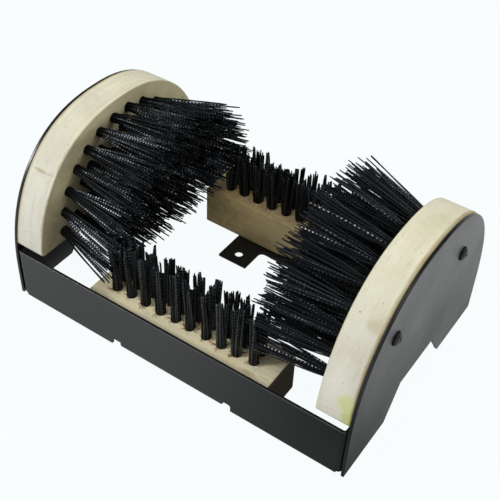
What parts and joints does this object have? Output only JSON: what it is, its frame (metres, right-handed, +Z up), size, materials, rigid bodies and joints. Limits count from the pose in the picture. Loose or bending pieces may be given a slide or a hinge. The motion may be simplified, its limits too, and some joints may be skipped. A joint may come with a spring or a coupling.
{
  "type": "boot scraper",
  "caption": "Boot scraper: a folded sheet steel frame with two arched side brushes facing each other and two low upright brushes along the rails.",
  "frame": {"origin": "on the floor, under the middle of the frame", "axes": "+X along the rails, from the left end plate to the right one, +Y from the front rail to the rear rail, +Z up"},
  "size_m": [0.3062, 0.2, 0.1504],
  "materials": {
    "black_steel": "satin black powder coat",
    "pale_wood": "smooth, unvarnished, pale",
    "black_bristle": "stiff crimped filaments, slight sheen",
    "black_screw": "black oxide"
  },
  "bodies": {
    "root": {"left_end_plate": "black_steel", "right_end_plate": "black_steel", "front_rail": "black_steel", "rear_rail": "black_steel", "left_brush_block": "pale_wood", "right_brush_block": "pale_wood", "front_brush_block": "pale_wood", "rear_brush_block": "pale_wood", "left_bristles": "black_bristle", "right_bristles": "black_bristle", "front_bristles": "black_bristle", "rear_bristles": "black_bristle", "left_block_screw_front": "black_screw", "left_block_screw_rear": "black_screw", "right_block_screw_front": "black_screw", "right_block_screw_rear": "black_screw", "front_block_screw_left": "black_screw", "front_block_screw_right": "black_screw", "rear_block_screw_left": "black_screw", "rear_block_screw_right": "black_screw"}
  },
  "joints": []
}
